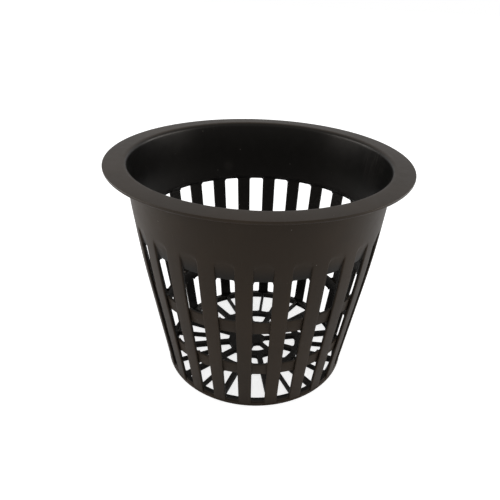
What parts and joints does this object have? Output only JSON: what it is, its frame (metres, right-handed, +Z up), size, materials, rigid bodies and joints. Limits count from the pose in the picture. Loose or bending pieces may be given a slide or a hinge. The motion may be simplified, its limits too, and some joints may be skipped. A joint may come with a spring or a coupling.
{
  "type": "net pot",
  "caption": "Tapered net pot with a flared hanging lip, a plain collar, upright slats over hoops and an open floor of rings and spokes.",
  "frame": {"origin": "centre of the foot, on the surface that the pot stands on", "axes": "+Z up the axis of the pot towards the mouth; +X, -X, +Y and -Y each pass through the middle of a slot"},
  "size_m": [0.0892, 0.0892, 0.0702],
  "materials": {
    "polypropylene": "satin black, as moulded"
  },
  "bodies": {
    "root": {"rim_lip": "polypropylene", "neck": "polypropylene", "collar": "polypropylene", "slat_01": "polypropylene", "slat_02": "polypropylene", "slat_03": "polypropylene", "slat_04": "polypropylene", "slat_05": "polypropylene", "slat_06": "polypropylene", "slat_07": "polypropylene", "slat_08": "polypropylene", "slat_09": "polypropylene", "slat_10": "polypropylene", "slat_11": "polypropylene", "slat_12": "polypropylene", "slat_13": "polypropylene", "slat_14": "polypropylene", "slat_15": "polypropylene", "slat_16": "polypropylene", "slat_17": "polypropylene", "slat_18": "polypropylene", "slat_19": "polypropylene", "slat_20": "polypropylene", "slat_21": "polypropylene", "slat_22": "polypropylene", "slat_23": "polypropylene", "slat_24": "polypropylene", "hoop_upper": "polypropylene", "hoop_lower": "polypropylene", "base_ring": "polypropylene", "floor_ring_outer": "polypropylene", "floor_ring_inner": "polypropylene", "hub": "polypropylene", "spoke_wide_01": "polypropylene", "spoke_wide_02": "polypropylene", "spoke_wide_03": "polypropylene", "spoke_wide_04": "polypropylene", "spoke_wide_05": "polypropylene", "spoke_wide_06": "polypropylene", "spoke_wide_07": "polypropylene", "spoke_wide_08": "polypropylene", "spoke_wide_09": "polypropylene", "spoke_wide_10": "polypropylene", "spoke_wide_11": "polypropylene", "spoke_wide_12": "polypropylene", "spoke_narrow_01": "polypropylene", "spoke_narrow_02": "polypropylene", "spoke_narrow_03": "polypropylene", "spoke_narrow_04": "polypropylene", "spoke_narrow_05": "polypropylene", "spoke_narrow_06": "polypropylene", "spoke_narrow_07": "polypropylene", "spoke_narrow_08": "polypropylene", "spoke_narrow_09": "polypropylene", "spoke_narrow_10": "polypropylene", "spoke_narrow_11": "polypropylene", "spoke_narrow_12": "polypropylene"}
  },
  "joints": []
}
